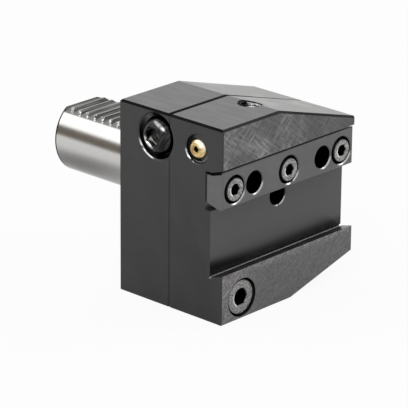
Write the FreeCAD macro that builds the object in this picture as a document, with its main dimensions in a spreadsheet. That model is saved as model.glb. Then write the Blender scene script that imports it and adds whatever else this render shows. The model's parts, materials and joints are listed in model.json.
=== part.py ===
import FreeCAD, Part
import math
import os

import Sketcher

# Turret tool holder for parting-off blades, size 30 shank, radial form.
# Frame: the origin lies on the shank axis in the flange's contact face, +Y runs
# along the shank, -Y is the blade side, +Z is up and -X is the coolant side.
# Millimetres and degrees throughout.

SIZES = [
    ("block_half_width", 35.5),
    ("block_top", 34.0),
    ("block_bottom", 39.0),
    ("top_ridge_x", 5.7),
    ("bottom_ridge_x", 2.0),
    ("top_slope_angle", 16.0),
    ("bottom_slope_angle", 15.0),
    ("flange_depth", 24.5),
    ("blade_block_depth", 25.5),
    ("top_chamfer", 0.8),
    ("edge_break", 0.4),
    ("mouth_chamfer", 0.4),
    ("shank_radius", 15.0),
    ("shank_length", 55.0),
    ("shank_chamfer", 0.8),
    ("shank_land_length", 9.0),
    ("shank_relief", 0.02),
    ("root_relief_depth", 0.3),
    ("root_relief_length", 0.45),
    ("shank_flat_height", 12.0),
    ("tooth_reference", 29.7),
    ("tooth_pitch", 4.0),
    ("tooth_depth", 1.5),
    ("tooth_root_width", 0.3),
    ("tooth_flank_angle", 45.0),
    ("centre_drill_radius", 2.5),
    ("centre_drill_depth", 7.0),
    ("face_groove_width", 3.2),
    ("face_groove_depth", 2.5),
    ("shank_ring_section", 1.4),
    ("wedge_recess_depth", 8.2),
    ("recess_knee_setback", 5.1),
    ("recess_knee_height", 17.4),
    ("recess_floor_height", 2.9),
    ("wedge_angle", 18.0),
    ("slot_depth", 5.6),
    ("seat_below_axis", 21.4),
    ("seat_angle", 15.0),
    ("blade_thickness", 2.5),
    ("seat_relief_radius", 0.7),
    ("wedge_length", 70.0),
    ("wedge_setback", 0.4),
    ("wedge_back_gap", 0.3),
    ("wedge_top_gap", 0.5),
    ("wedge_bottom", 4.2),
    ("wedge_bevel_setback", 2.4),
    ("wedge_chamfer", 0.4),
    ("clamp_hole_height", 10.6),
    ("clamp_spacing", 28.6),
    ("clamp_counterbore_radius", 5.2),
    ("clamp_slot_radius", 3.2),
    ("clamp_thread_radius", 2.5),
    ("clamp_head_radius", 4.25),
    ("clamp_head_height", 3.5),
    ("clamp_socket", 4.0),
    ("clamp_socket_depth", 2.0),
    ("clamp_proud", 0.2),
    ("clamp_screw_length", 16.0),
    ("clamp_tap_depth", 14.0),
    ("washer_radius", 4.6),
    ("washer_thickness", 0.8),
    ("access_spacing", 18.3),
    ("access_radius", 4.2),
    ("small_thread_radius", 3.0),
    ("small_head_radius", 5.0),
    ("small_head_height", 6.0),
    ("small_socket", 5.0),
    ("small_socket_depth", 2.6),
    ("upper_counterbore_radius", 5.5),
    ("upper_counterbore_depth", 8.0),
    ("upper_screw_length", 18.0),
    ("large_thread_radius", 4.0),
    ("large_head_radius", 6.5),
    ("large_head_height", 8.0),
    ("large_socket", 6.0),
    ("large_socket_depth", 4.0),
    ("lower_screw_setback", 10.8),
    ("lower_screw_height", 8.0),
    ("lower_counterbore_radius", 7.25),
    ("lower_head_sink", 0.6),
    ("lower_screw_length", 30.0),
    ("shank_clearance", 0.5),
    ("thread_clearance", 0.05),
    ("tap_runout", 3.0),
    ("head_chamfer", 0.5),
    ("thread_chamfer", 0.8),
    ("centre_dowel_radius", 4.0),
    ("centre_dowel_front", 9.5),
    ("centre_dowel_rear", 11.0),
    ("offset_dowel_radius", 3.0),
    ("offset_dowel_x", 22.0),
    ("offset_dowel_z", 17.0),
    ("offset_dowel_reach", 8.0),
    ("dowel_clearance", 0.02),
    ("drill_half_angle", 59.0),
    ("coolant_height", 24.3),
    ("coolant_x", 8.0),
    ("inlet_radius", 4.0),
    ("channel_radius", 3.0),
    ("seam_ring_radius", 4.6),
    ("seam_ring_section", 0.9),
    ("seam_ring_gap", 0.1),
    ("nozzle_setback", 12.3),
    ("nozzle_bore_radius", 5.25),
    ("nozzle_channel_radius", 2.5),
    ("ball_radius", 4.2),
    ("ball_front", 3.4),
    ("ball_back", 3.0),
    ("ball_depth", 2.7),
    ("jet_radius", 1.0),
    ("jet_inlet_radius", 2.0),
    ("retainer_front", 2.0),
    ("retainer_back", 0.3),
    ("seat_back", 4.6),
    ("nozzle_gap", 0.1),
    ("port_radius", 4.4),
    ("port_setback", 13.6),
    ("port_x", 6.4),
    ("port_plug_sink", 3.0),
    ("port_plug_length", 4.0),
    ("side_plug_y", 18.0),
    ("side_counterbore_radius", 8.5),
    ("side_counterbore_depth", 3.4),
    ("side_washer_radius", 7.2),
    ("side_washer_thickness", 1.0),
    ("side_screw_length", 12.0),
    ("button_radius", 7.0),
    ("button_height", 4.4),
    ("button_rim", 0.8),
    ("button_top_radius", 3.9),
    ("button_dome_radius", 7.6),
    ("button_socket", 6.0),
    ("overcut", 1.0),
]

doc = FreeCAD.newDocument("radial_tool_holder")
sheet = doc.addObject("Spreadsheet::Sheet", "sizes")
for row, (alias, number) in enumerate(SIZES, start=1):
    sheet.set(f"A{row}", alias)
    sheet.set(f"B{row}", str(number))
    sheet.setAlias(f"B{row}", alias)
doc.recompute()


class Size:
    """A length or an angle: its expression in the document and its value now."""

    def __init__(self, text, value):
        self.text = text
        self.value = float(value)

    def __add__(self, other):
        other = as_size(other)
        return Size(f"({self.text} + {other.text})", self.value + other.value)

    def __radd__(self, other):
        return as_size(other) + self

    def __sub__(self, other):
        other = as_size(other)
        return Size(f"({self.text} - {other.text})", self.value - other.value)

    def __rsub__(self, other):
        return as_size(other) - self

    def __mul__(self, other):
        other = as_size(other)
        return Size(f"({self.text} * {other.text})", self.value * other.value)

    def __rmul__(self, other):
        return as_size(other) * self

    def __truediv__(self, other):
        other = as_size(other)
        return Size(f"({self.text} / {other.text})", self.value / other.value)

    def __neg__(self):
        return Size(f"(-1 * {self.text})", -self.value)


def as_size(thing):
    if isinstance(thing, Size):
        return thing
    return Size(f"{thing:.9g}" if thing >= 0 else f"({thing:.9g})", thing)


def tan(angle):
    return Size(f"tan({angle.text})", math.tan(math.radians(angle.value)))


def root(square):
    return Size(f"sqrt({square.text})", math.sqrt(square.value))


def bind(thing, place, size):
    """Tie one property of an object to the sheet."""
    thing.setExpression(place, as_size(size).text)


class Sheet:
    """Reads each alias of the sheet as a Size."""

    def __getattr__(self, alias):
        return Size(f"sizes.{alias}", sheet.get(alias))


s = Sheet()
ZERO = as_size(0)

# Places that several pieces share.
front_y = -(s.flange_depth + s.blade_block_depth)
seam_y = -s.flange_depth
left_x = -s.block_half_width
right_top_z = s.block_top - (s.block_half_width + s.top_ridge_x) * tan(s.top_slope_angle)
right_bottom_rise = (s.block_half_width - s.bottom_ridge_x) * tan(s.bottom_slope_angle)
right_bottom_z = right_bottom_rise - s.block_bottom
recess_y = front_y + s.wedge_recess_depth
slot_y = front_y + s.slot_depth
knee_y = front_y + s.recess_knee_setback
seat_rise = tan(s.seat_angle)
seat_back_z = -s.seat_below_axis - s.blade_thickness / 2 * seat_rise
nozzle_y = front_y + s.nozzle_setback
port_y = front_y + s.port_setback
lower_screw_x = left_x + s.lower_screw_setback
lower_screw_z = s.lower_screw_height - s.block_bottom


def origin_plane(body, role):
    for feature in body.Origin.OriginFeatures:
        if feature.Role == role:
            return feature
    raise RuntimeError(f"{body.Label} has no {role}")


def new_body(label):
    body = doc.addObject("PartDesign::Body", label)
    body.Label = label
    return body


def new_sketch(body, name, role, shift=(0, 0, 0)):
    """A sketch on a plane of the body, moved along the plane's x, y and normal."""
    sketch = body.newObject("Sketcher::SketchObject", name)
    sketch.AttachmentSupport = [(origin_plane(body, role), "")]
    sketch.MapMode = "FlatFace"
    sizes = [as_size(amount) for amount in shift]
    offset = FreeCAD.Vector(*[size.value for size in sizes])
    sketch.AttachmentOffset = FreeCAD.Placement(offset, FreeCAD.Rotation())
    for axis, size in zip("xyz", sizes):
        bind(sketch, f"AttachmentOffset.Base.{axis}", size)
    return sketch


def hold_point(sketch, geometry, end, x, y):
    """Hold one end of a line or an arc at x and y from the sketch's origin."""
    for kind, size in (("DistanceX", x), ("DistanceY", y)):
        constraint = Sketcher.Constraint(kind, -1, 1, geometry, end, size.value)
        index = sketch.addConstraint(constraint)
        bind(sketch, f"Constraints[{index}]", size)


def arc_between(start, end, radius, clockwise):
    """The shorter arc from start to end, which a sketch stores anticlockwise."""
    chord = end - start
    middle = (start + end) * 0.5
    rise = math.sqrt(max(radius ** 2 - (chord.Length / 2) ** 2, 0.0))
    side = FreeCAD.Vector(-chord.y, chord.x, 0).normalize()
    centre = middle - side * rise if clockwise else middle + side * rise
    first, last = (end, start) if clockwise else (start, end)
    begin = math.atan2(first.y - centre.y, first.x - centre.x)
    finish = math.atan2(last.y - centre.y, last.x - centre.x)
    circle = Part.Circle(centre, FreeCAD.Vector(0, 0, 1), radius)
    return Part.ArcOfCircle(circle, begin, finish)


def outline(sketch, corners, arcs=None):
    """A closed outline; arcs maps a corner's index to (radius, clockwise)."""
    arcs = arcs or {}
    corners = [(as_size(x), as_size(y)) for x, y in corners]
    points = [FreeCAD.Vector(x.value, y.value, 0) for x, y in corners]
    ends = []
    for index, start in enumerate(points):
        end = points[(index + 1) % len(points)]
        if index in arcs:
            radius, clockwise = arcs[index]
            geometry = sketch.addGeometry(arc_between(start, end, radius.value, clockwise), False)
            ends.append((geometry, 2, 1) if clockwise else (geometry, 1, 2))
        else:
            geometry = sketch.addGeometry(Part.LineSegment(start, end), False)
            ends.append((geometry, 1, 2))
    for index, (geometry, _, last) in enumerate(ends):
        following, first, _ = ends[(index + 1) % len(ends)]
        sketch.addConstraint(Sketcher.Constraint("Coincident", geometry, last, following, first))
    for (geometry, first, _), (x, y) in zip(ends, corners):
        hold_point(sketch, geometry, first, x, y)
    for index, (radius, _) in arcs.items():
        constraint = Sketcher.Constraint("Radius", ends[index][0], radius.value)
        bind(sketch, f"Constraints[{sketch.addConstraint(constraint)}]", radius)
    return sketch


def finish_feature(body, feature, sketch):
    sketch.Visibility = False
    body.Tip = feature
    return feature


def pad(body, sketch, length, centred=False):
    feature = body.newObject("PartDesign::Pad", sketch.Name + "_pad")
    feature.Profile = sketch
    feature.Length = length.value
    feature.SideType = "Symmetric" if centred else "One side"
    bind(feature, "Length", length)
    return finish_feature(body, feature, sketch)


def pocket(body, sketch, length, centred=False):
    feature = body.newObject("PartDesign::Pocket", sketch.Name + "_pocket")
    feature.Profile = sketch
    feature.Length = length.value
    feature.SideType = "Symmetric" if centred else "One side"
    bind(feature, "Length", length)
    return finish_feature(body, feature, sketch)


def turn(body, sketch, axis, cut=False):
    """Turn an outline about its sketch's H_Axis or V_Axis, as a solid or a cut."""
    kind = "Groove" if cut else "Revolution"
    feature = body.newObject(f"PartDesign::{kind}", f"{sketch.Name}_{kind.lower()}")
    feature.Profile = sketch
    feature.ReferenceAxis = (sketch, [axis])
    feature.Angle = 360
    return finish_feature(body, feature, sketch)


def chamfer(body, base, edges, size):
    feature = body.newObject("PartDesign::Chamfer", f"{base.Name}_chamfer")
    feature.Base = (base, edges)
    feature.Size = size.value
    bind(feature, "Size", size)
    body.Tip = feature
    return feature


def edges_where(feature, test):
    """The names of the edges whose bounding box passes the test."""
    doc.recompute()
    names = []
    for index, edge in enumerate(feature.Shape.Edges, start=1):
        if test(edge.BoundBox):
            names.append(f"Edge{index}")
    return names


SAME_PLACE = 0.001
EDGE_LENGTH = 1.0


def near(a, b):
    return abs(a - b) < SAME_PLACE


def flat_at(low, high, place):
    """Whether a range along one axis lies wholly at one place."""
    return near(low, place) and near(high, place)


# Holes are turned cuts. A hole along an axis of the block is drawn on the plane
# and along the sketch axis given here, and its place across fills the other two.
HOLE_PLANES = {
    "X": ("XZ_Plane", "H_Axis", lambda y, z: (0, z, -as_size(y))),
    "Y": ("YZ_Plane", "H_Axis", lambda x, z: (0, z, x)),
    "Z": ("XZ_Plane", "V_Axis", lambda x, y: (x, 0, -as_size(y))),
}


def drill(body, name, axis, across, mouth, inward, steps, break_mouth=None, pointed=False):
    """Cut a stepped round hole.

    mouth is where the hole starts on its axis, inward is +1 or -1, and steps are
    (depth, radius) pairs from the mouth down. break_mouth chamfers the mouth and
    pointed ends the hole in a drill point.
    """
    role, sketch_axis, shift = HOLE_PLANES[axis]
    mouth = as_size(mouth)
    sketch = new_sketch(body, name, role, shift(*across))
    first_radius = steps[0][1]
    outside = mouth - s.overcut * inward
    corners = [(outside, ZERO)]
    if break_mouth is None:
        corners.append((outside, first_radius))
    else:
        corners.append((outside, first_radius + break_mouth + s.overcut))
        corners.append((mouth + break_mouth * inward, first_radius))
    for index, (depth, radius) in enumerate(steps):
        bottom = mouth + depth * inward
        corners.append((bottom, radius))
        if index + 1 < len(steps):
            corners.append((bottom, steps[index + 1][1]))
        elif pointed:
            corners.append((bottom + radius / tan(s.drill_half_angle) * inward, ZERO))
        else:
            corners.append((bottom, ZERO))
    if sketch_axis == "V_Axis":
        corners = [(radius, along) for along, radius in corners]
    outline(sketch, corners)
    return turn(body, sketch, sketch_axis, cut=True)


def place(body, x, y, z, axis, angle):
    """Stand a piece made along its own +Z at a point of the holder."""
    spots = [as_size(x), as_size(y), as_size(z)]
    base = FreeCAD.Vector(*[spot.value for spot in spots])
    body.Placement = FreeCAD.Placement(base, FreeCAD.Rotation(FreeCAD.Vector(*axis), angle))
    for name, spot in zip("xyz", spots):
        bind(body, f"Placement.Base.{name}", spot)


TO_FRONT = ((1, 0, 0), 90)
TO_LEFT = ((0, 1, 0), -90)
UPRIGHT = ((0, 0, 1), 0)


def block_profile(sketch):
    """The outline that both blocks share, seen along the shank axis."""
    outline(sketch, [
        (left_x, -s.block_bottom),
        (s.bottom_ridge_x, -s.block_bottom),
        (s.block_half_width, right_bottom_z),
        (s.block_half_width, right_top_z),
        (-s.top_ridge_x, s.block_top),
        (left_x, s.block_top),
    ])


def break_block_edges(body, base, outer_y):
    """Chamfer a block: wide on its upper outer edges, narrow on the others."""
    left, right = left_x.value, s.block_half_width.value
    top, low = s.block_top.value, right_top_z.value

    def upper(box):
        on_side = flat_at(box.XMin, box.XMax, left) and near(box.ZMin, top)
        on_end = flat_at(box.YMin, box.YMax, outer_y)
        on_top = box.ZMin > low - SAME_PLACE and box.XLength > EDGE_LENGTH
        return on_side or (on_end and on_top)

    first = chamfer(body, base, edges_where(base, upper), s.top_chamfer)

    def lower(box):
        upright = box.XLength < SAME_PLACE and box.ZLength < SAME_PLACE
        along = upright and box.YLength > EDGE_LENGTH and box.ZMax < low - EDGE_LENGTH
        at_seam = flat_at(box.YMin, box.YMax, seam_y.value)
        on_end = flat_at(box.YMin, box.YMax, outer_y) and box.ZMin < low - EDGE_LENGTH
        at_corner = near(box.XMin, right) and near(box.ZMax, low)
        return along or at_seam or (on_end and not at_corner)

    return chamfer(body, first, edges_where(first, lower), s.edge_break)


def make_flange():
    """Flange block with its ground shank, toothed flat and coolant ways."""
    body = new_body("flange_shank")
    profile = new_sketch(body, "flange_profile", "XZ_Plane")
    block_profile(profile)
    block = pad(body, profile, s.flange_depth)
    break_block_edges(body, block, 0.0)

    turned = new_sketch(body, "shank_profile", "YZ_Plane")
    inner_end = -s.face_groove_depth - s.overcut
    root_radius = s.shank_radius - s.root_relief_depth
    relieved_radius = s.shank_radius - s.shank_relief
    outline(turned, [
        (inner_end, ZERO),
        (inner_end, root_radius),
        (s.root_relief_length, root_radius),
        (s.root_relief_length, s.shank_radius),
        (s.shank_land_length, s.shank_radius),
        (s.shank_land_length, relieved_radius),
        (s.shank_length - s.shank_chamfer, relieved_radius),
        (s.shank_length, relieved_radius - s.shank_chamfer),
        (s.shank_length, ZERO),
    ])
    turn(body, turned, "H_Axis")

    groove = new_sketch(body, "face_groove", "YZ_Plane")
    groove_radius = s.shank_radius + s.face_groove_width
    outline(groove, [
        (-s.face_groove_depth, root_radius),
        (ZERO, root_radius),
        (ZERO, groove_radius),
        (-s.face_groove_depth, groove_radius),
    ])
    turn(body, groove, "H_Axis", cut=True)

    flat = new_sketch(body, "shank_flat", "YZ_Plane")
    outline(flat, [
        (s.shank_land_length, s.shank_flat_height),
        (s.shank_length + s.overcut, s.shank_flat_height),
        (s.shank_length + s.overcut, s.shank_radius + s.overcut),
        (s.shank_land_length, s.shank_radius + s.overcut),
    ])
    pocket(body, flat, s.shank_radius * 2 + s.overcut, centred=True)
    cut_teeth(body)

    drill(body, "centre_drill", "Y", (ZERO, ZERO), s.shank_length, -1,
          [(s.centre_drill_depth, s.centre_drill_radius)], s.mouth_chamfer, pointed=True)
    drill(body, "inlet_bore", "Y", (-s.coolant_x, s.coolant_height), ZERO, -1,
          [(s.flange_depth + s.overcut, s.inlet_radius)], s.mouth_chamfer)
    plug_reach = s.side_counterbore_depth + s.side_screw_length + s.tap_runout
    way_reach = s.block_half_width - s.coolant_x
    drill(body, "side_way", "X", (-s.side_plug_y, s.coolant_height), left_x, 1,
          [(s.side_counterbore_depth, s.side_counterbore_radius),
           (plug_reach, s.large_thread_radius + s.thread_clearance),
           (way_reach, s.nozzle_channel_radius)], s.mouth_chamfer)
    for side in (-1, 1):
        drill(body, f"upper_tap_{2 + side}", "Y", (s.access_spacing * side, s.clamp_hole_height),
              seam_y, 1, [(upper_thread_reach() + s.tap_runout,
                           s.small_thread_radius + s.thread_clearance)],
              s.mouth_chamfer, pointed=True)
    drill(body, "lower_tap", "Y", (lower_screw_x, lower_screw_z), seam_y, 1,
          [(lower_thread_reach() + s.tap_runout, s.large_thread_radius + s.thread_clearance)],
          s.mouth_chamfer, pointed=True)
    drill(body, "centre_dowel_hole", "Y", (ZERO, ZERO), seam_y, 1,
          [(s.centre_dowel_rear, s.centre_dowel_radius + s.dowel_clearance)],
          s.mouth_chamfer, pointed=True)
    drill(body, "offset_dowel_hole", "Y", (s.offset_dowel_x, -s.offset_dowel_z), seam_y, 1,
          [(s.offset_dowel_reach, s.offset_dowel_radius + s.dowel_clearance)],
          s.mouth_chamfer, pointed=True)
    return body


def cut_teeth(body):
    """Cross teeth in the flat, from the reference towards the land and the end."""
    floor = s.shank_flat_height - s.tooth_depth
    half_floor = s.tooth_root_width / 2
    top = s.shank_flat_height + s.overcut
    half_top = half_floor + (top - floor) * tan(s.tooth_flank_angle)
    room = s.tooth_reference - half_top - s.shank_land_length
    before = math.floor(room.value / s.tooth_pitch.value)
    after = math.floor((s.shank_length - s.tooth_reference).value / s.tooth_pitch.value)
    first = s.tooth_reference - s.tooth_pitch * before
    tooth = new_sketch(body, "tooth_space", "YZ_Plane")
    outline(tooth, [
        (first - half_floor, floor),
        (first + half_floor, floor),
        (first + half_top, top),
        (first - half_top, top),
    ])
    space = pocket(body, tooth, s.shank_radius * 2 + s.overcut, centred=True)
    rack = body.newObject("PartDesign::LinearPattern", "tooth_rack")
    rack.Originals = [space]
    rack.Direction = (tooth, ["H_Axis"])
    rack.Mode = "Spacing"
    rack.Offset = s.tooth_pitch.value
    rack.Occurrences = before + after + 1
    bind(rack, "Offset", s.tooth_pitch)
    body.Tip = rack


def upper_thread_reach():
    return s.upper_screw_length - (-recess_y - s.upper_counterbore_depth - s.flange_depth)


def lower_thread_reach():
    seat = s.blade_block_depth - s.large_head_height - s.lower_head_sink
    return s.lower_screw_length - seat


def make_blade_block():
    """Front block: blade slot with its V seat, wedge recess and coolant ways."""
    body = new_body("blade_block")
    profile = new_sketch(body, "blade_block_profile", "XZ_Plane", (0, 0, s.flange_depth))
    block_profile(profile)
    block = pad(body, profile, s.blade_block_depth)
    break_block_edges(body, block, front_y.value)

    slot = new_sketch(body, "blade_slot", "YZ_Plane")
    outside = front_y - s.overcut
    outline(slot, [
        (outside, s.recess_knee_height + (s.recess_knee_setback + s.overcut) * tan(s.wedge_angle)),
        (outside, seat_back_z + (s.slot_depth + s.overcut) * seat_rise),
        (slot_y, seat_back_z),
        (slot_y, s.recess_floor_height),
        (recess_y, s.recess_floor_height),
        (recess_y, s.recess_knee_height),
        (knee_y, s.recess_knee_height),
    ])
    pocket(body, slot, s.block_half_width * 2 + s.overcut, centred=True)

    relief = new_sketch(body, "seat_relief", "YZ_Plane", (slot_y, seat_back_z, 0))
    half = s.seat_relief_radius
    outline(relief, [(-half, ZERO), (ZERO, -half), (half, ZERO), (ZERO, half)])
    pocket(body, relief, s.block_half_width * 2 + s.overcut, centred=True)

    for side in (-1, 0, 1):
        drill(body, f"clamp_tap_{2 + side}", "Y", (s.clamp_spacing * side, s.clamp_hole_height),
              recess_y, 1, [(s.clamp_tap_depth, s.clamp_thread_radius + s.thread_clearance)],
              s.mouth_chamfer, pointed=True)
    through = -recess_y - s.flange_depth + s.overcut
    for side in (-1, 1):
        drill(body, f"upper_hole_{2 + side}", "Y", (s.access_spacing * side, s.clamp_hole_height),
              recess_y, 1, [(s.upper_counterbore_depth, s.upper_counterbore_radius),
                            (through, s.small_thread_radius + s.shank_clearance)],
              s.mouth_chamfer)
    drill(body, "lower_hole", "Y", (lower_screw_x, lower_screw_z), front_y, 1,
          [(s.large_head_height + s.lower_head_sink, s.lower_counterbore_radius),
           (s.blade_block_depth + s.overcut, s.large_thread_radius + s.shank_clearance)])
    drill(body, "centre_hole", "Y", (ZERO, ZERO), slot_y, 1,
          [(s.blade_block_depth - s.slot_depth + s.overcut,
            s.centre_dowel_radius + s.dowel_clearance)], s.mouth_chamfer)
    drill(body, "offset_hole", "Y", (s.offset_dowel_x, -s.offset_dowel_z), seam_y, -1,
          [(s.offset_dowel_reach, s.offset_dowel_radius + s.dowel_clearance)],
          s.mouth_chamfer, pointed=True)

    ring_outer = s.seam_ring_radius + s.seam_ring_section + s.seam_ring_gap
    ring_depth = s.seam_ring_section * 2
    drill(body, "seam_channel", "Y", (-s.coolant_x, s.coolant_height), seam_y, -1,
          [(ring_depth, ring_outer),
           (s.blade_block_depth - s.nozzle_setback + s.channel_radius, s.channel_radius)],
          pointed=True)
    channel_end = s.block_half_width - s.coolant_x
    drill(body, "nozzle_bore", "X", (nozzle_y, s.coolant_height), left_x, 1,
          [(s.ball_depth + s.seat_back + s.nozzle_gap, s.nozzle_bore_radius),
           (channel_end, s.nozzle_channel_radius)], s.mouth_chamfer)
    drill(body, "top_port", "Z", (-s.port_x, port_y), s.block_top, -1,
          [(s.block_top - s.coolant_height, s.port_radius)], s.mouth_chamfer, pointed=True)
    corner = left_x - s.overcut
    side_cut = new_sketch(body, "side_counterbore", "XZ_Plane", (0, s.coolant_height, s.side_plug_y))
    outline(side_cut, [
        (corner, ZERO),
        (corner, s.side_counterbore_radius),
        (left_x + s.side_counterbore_depth, s.side_counterbore_radius),
        (left_x + s.side_counterbore_depth, ZERO),
    ])
    turn(body, side_cut, "H_Axis", cut=True)
    return body


wedge_back_y = recess_y - s.wedge_back_gap
wedge_front_y = front_y + s.wedge_setback
wedge_knee_z = s.recess_knee_height - s.wedge_top_gap
clamp_bearing_y = wedge_front_y - s.clamp_proud + s.clamp_head_height


def make_wedge():
    """Clamp bar: inclined top face, bevelled lower edge and five holes."""
    body = new_body("clamp_wedge")
    profile = new_sketch(body, "wedge_profile", "YZ_Plane")
    bevel_y = front_y + s.wedge_bevel_setback
    outline(profile, [
        (wedge_front_y, s.wedge_bottom),
        (bevel_y, s.wedge_bottom),
        (wedge_back_y, s.wedge_bottom + (wedge_back_y - bevel_y) * seat_rise),
        (wedge_back_y, wedge_knee_z),
        (knee_y, wedge_knee_z),
        (wedge_front_y, wedge_knee_z + (knee_y - wedge_front_y) * tan(s.wedge_angle)),
    ])
    bar = pad(body, profile, s.wedge_length, centred=True)
    front = wedge_front_y.value

    def on_front(box):
        return near(box.YMin, front) and near(box.YMax, front)

    chamfer(body, bar, edges_where(bar, on_front), s.wedge_chamfer)
    head_depth = clamp_bearing_y + s.washer_thickness - wedge_front_y
    through = wedge_back_y - wedge_front_y + s.overcut
    for side in (-1, 0, 1):
        drill(body, f"clamp_hole_{2 + side}", "Y", (s.clamp_spacing * side, s.clamp_hole_height),
              wedge_front_y, 1, [(head_depth, s.clamp_counterbore_radius),
                                 (through, s.clamp_slot_radius)], s.mouth_chamfer)
    for side in (-1, 1):
        drill(body, f"access_hole_{2 + side}", "Y", (s.access_spacing * side, s.clamp_hole_height),
              wedge_front_y, 1, [(through, s.access_radius)], s.mouth_chamfer)
    return body


def cap_screw(label, thread_radius, length, head_radius, head_height, socket, socket_depth):
    """Hexagon socket screw along +Z, its bearing face at zero."""
    body = new_body(label)
    profile = new_sketch(body, f"{label}_profile", "XZ_Plane")
    outline(profile, [
        (ZERO, head_height),
        (head_radius - s.head_chamfer, head_height),
        (head_radius, head_height - s.head_chamfer),
        (head_radius, ZERO),
        (thread_radius, ZERO),
        (thread_radius, s.thread_chamfer - length),
        (thread_radius - s.thread_chamfer, -length),
        (ZERO, -length),
    ])
    turn(body, profile, "V_Axis")
    cut_socket(body, f"{label}_socket", head_height, socket, socket_depth)
    return body


def cut_socket(body, name, top, across_flats, depth):
    """Hexagon socket, cut down from a height on the piece's own axis."""
    hexagon = new_sketch(body, name, "XY_Plane", (0, 0, top))
    corner = across_flats / math.sqrt(3)
    turns = [math.radians(60 * index) for index in range(6)]
    outline(hexagon, [(corner * math.cos(angle), corner * math.sin(angle)) for angle in turns])
    pocket(body, hexagon, depth)


def button_screw(label):
    """Domed plug screw along +Z, its bearing face at zero."""
    body = new_body(label)
    profile = new_sketch(body, f"{label}_profile", "XZ_Plane")
    outline(profile, [
        (ZERO, s.button_height),
        (s.button_top_radius, s.button_height),
        (s.button_radius, s.button_rim),
        (s.button_radius, ZERO),
        (s.large_thread_radius, ZERO),
        (s.large_thread_radius, s.thread_chamfer - s.side_screw_length),
        (s.large_thread_radius - s.thread_chamfer, -s.side_screw_length),
        (ZERO, -s.side_screw_length),
    ], {1: (s.button_dome_radius, True)})
    turn(body, profile, "V_Axis")
    cut_socket(body, f"{label}_socket", s.button_height, s.button_socket, s.small_socket_depth)
    return body


def plain_ring(label, outer, inner, thickness):
    """Flat ring along +Z from zero."""
    body = new_body(label)
    profile = new_sketch(body, f"{label}_profile", "XZ_Plane")
    outline(profile, [(inner, ZERO), (outer, ZERO), (outer, thickness), (inner, thickness)])
    turn(body, profile, "V_Axis")
    return body


def dowel(label, radius, low, high):
    """Chamfered pin along +Z from low to high."""
    body = new_body(label)
    profile = new_sketch(body, f"{label}_profile", "XZ_Plane")
    edge = s.head_chamfer
    outline(profile, [
        (ZERO, low),
        (radius - edge, low),
        (radius, low + edge),
        (radius, high - edge),
        (radius - edge, high),
        (ZERO, high),
    ])
    turn(body, profile, "V_Axis")
    return body


HALF_OCTANT = 22.5


def seal_ring(label, radius, section):
    """Rubber ring about its own Z axis, with an eight-sided section."""
    body = new_body(label)
    profile = new_sketch(body, f"{label}_profile", "XZ_Plane")
    half_side = section * tan(as_size(HALF_OCTANT))
    outline(profile, [
        (radius - section, -half_side),
        (radius - half_side, -section),
        (radius + half_side, -section),
        (radius + section, -half_side),
        (radius + section, half_side),
        (radius + half_side, section),
        (radius - half_side, section),
        (radius - section, half_side),
    ])
    turn(body, profile, "V_Axis")
    return body


def make_clamp_sets():
    """Three low-head screws, each with a washer that spans the bar's wide hole."""
    made = []
    for name, side in (("left", -1), ("middle", 0), ("right", 1)):
        x = s.clamp_spacing * side
        screw = cap_screw(f"clamp_screw_{name}", s.clamp_thread_radius, s.clamp_screw_length,
                          s.clamp_head_radius, s.clamp_head_height, s.clamp_socket,
                          s.clamp_socket_depth)
        place(screw, x, clamp_bearing_y, s.clamp_hole_height, *TO_FRONT)
        washer = plain_ring(f"clamp_washer_{name}", s.washer_radius,
                            s.clamp_thread_radius + s.thread_clearance, s.washer_thickness)
        place(washer, x, clamp_bearing_y + s.washer_thickness, s.clamp_hole_height, *TO_FRONT)
        made += [screw, washer]
    return made


def make_block_screws():
    """The screws that hold the blade block to the flange."""
    made = []
    for name, side in (("left", -1), ("right", 1)):
        screw = cap_screw(f"block_screw_upper_{name}", s.small_thread_radius,
                          s.upper_screw_length, s.small_head_radius, s.small_head_height,
                          s.small_socket, s.small_socket_depth)
        place(screw, s.access_spacing * side, recess_y + s.upper_counterbore_depth,
              s.clamp_hole_height, *TO_FRONT)
        made.append(screw)
    screw = cap_screw("block_screw_lower", s.large_thread_radius, s.lower_screw_length,
                      s.large_head_radius, s.large_head_height, s.large_socket,
                      s.large_socket_depth)
    place(screw, lower_screw_x, front_y + s.large_head_height + s.lower_head_sink,
          lower_screw_z, *TO_FRONT)
    return made + [screw]


def make_dowels():
    """The pins that line the two blocks up at the seam."""
    centre = dowel("centre_dowel", s.centre_dowel_radius, -s.centre_dowel_rear,
                   s.centre_dowel_front)
    place(centre, 0, seam_y, 0, *TO_FRONT)
    reach = s.offset_dowel_reach
    offset = dowel("offset_dowel", s.offset_dowel_radius, -reach, reach)
    place(offset, s.offset_dowel_x, seam_y, -s.offset_dowel_z, *TO_FRONT)
    return [centre, offset]


def across_sphere(radius, height):
    """Radius of the circle that a sphere makes at a height from its centre."""
    return root(radius * radius - height * height)


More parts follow.
